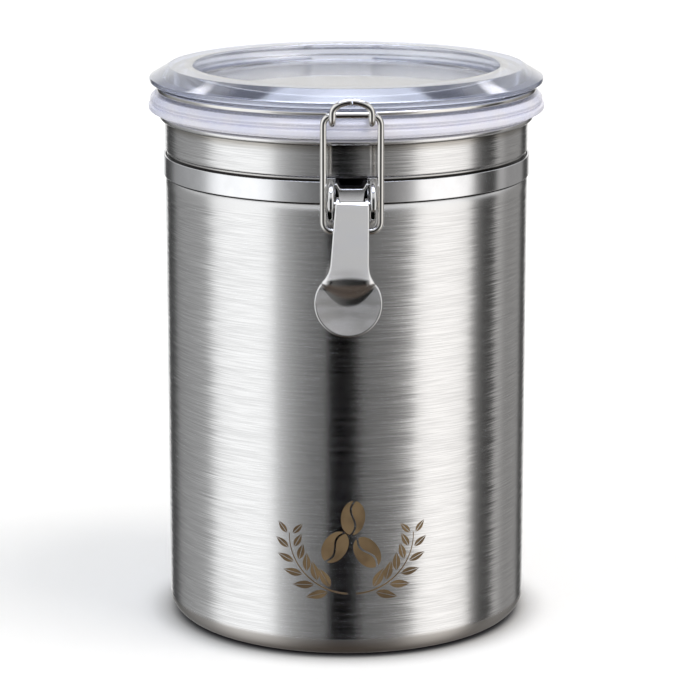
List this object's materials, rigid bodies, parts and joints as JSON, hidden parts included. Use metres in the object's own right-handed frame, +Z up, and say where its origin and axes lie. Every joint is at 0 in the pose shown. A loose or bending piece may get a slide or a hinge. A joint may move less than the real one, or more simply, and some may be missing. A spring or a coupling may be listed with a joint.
{
  "type": "coffee canister",
  "caption": "Round steel storage canister with a clear clamp lid, rear wire hinge, soft gasket and over-centre lever latch.",
  "frame": {"origin": "middle of the flat base, on the surface that the canister stands on", "axes": "+Z up along the can's axis, -Y towards the latch, +Y towards the hinge, X along both pivot axes"},
  "size_m": [0.1306, 0.1448, 0.1857],
  "materials": {
    "brushed_can": "brushed round the wall, satin at the base",
    "polished_fittings": "polished",
    "satin_lever": "satin",
    "clear_lid": "clear, glossy, faint cool tint",
    "gasket": "soft translucent silicone"
  },
  "bodies": {
    "can": {"can_body": "brushed_can", "band_strap": "polished_fittings", "latch_bracket": "polished_fittings", "lever_pin": "polished_fittings", "hinge_bracket": "polished_fittings"},
    "lid": {"lid_shell": "clear_lid", "gasket": "gasket", "lid_hoop": "polished_fittings"},
    "lever": {"lever": "satin_lever"},
    "bail": {"bail": "polished_fittings"}
  },
  "joints": [
    {"name": "lid_hinge", "type": "hinge", "parent": "can", "child": "lid", "pos_m": [0, 0.0664, 0.1534], "axis": [-1, 0, 0], "range_deg": [0, 105]},
    {"name": "lever_pivot", "type": "hinge", "parent": "can", "child": "lever", "pos_m": [0, -0.0692, 0.151], "axis": [-1, 0, 0], "range_deg": [0, 90]},
    {"name": "bail_pivot", "type": "hinge", "parent": "lever", "child": "bail", "pos_m": [0, -0.0675, 0.1423], "axis": [-1, 0, 0], "range_deg": [-70, 0]}
  ],
  "couplings": [
    {"joint": "bail_pivot", "follows": "lever_pivot", "ratio": -0.765}
  ]
}
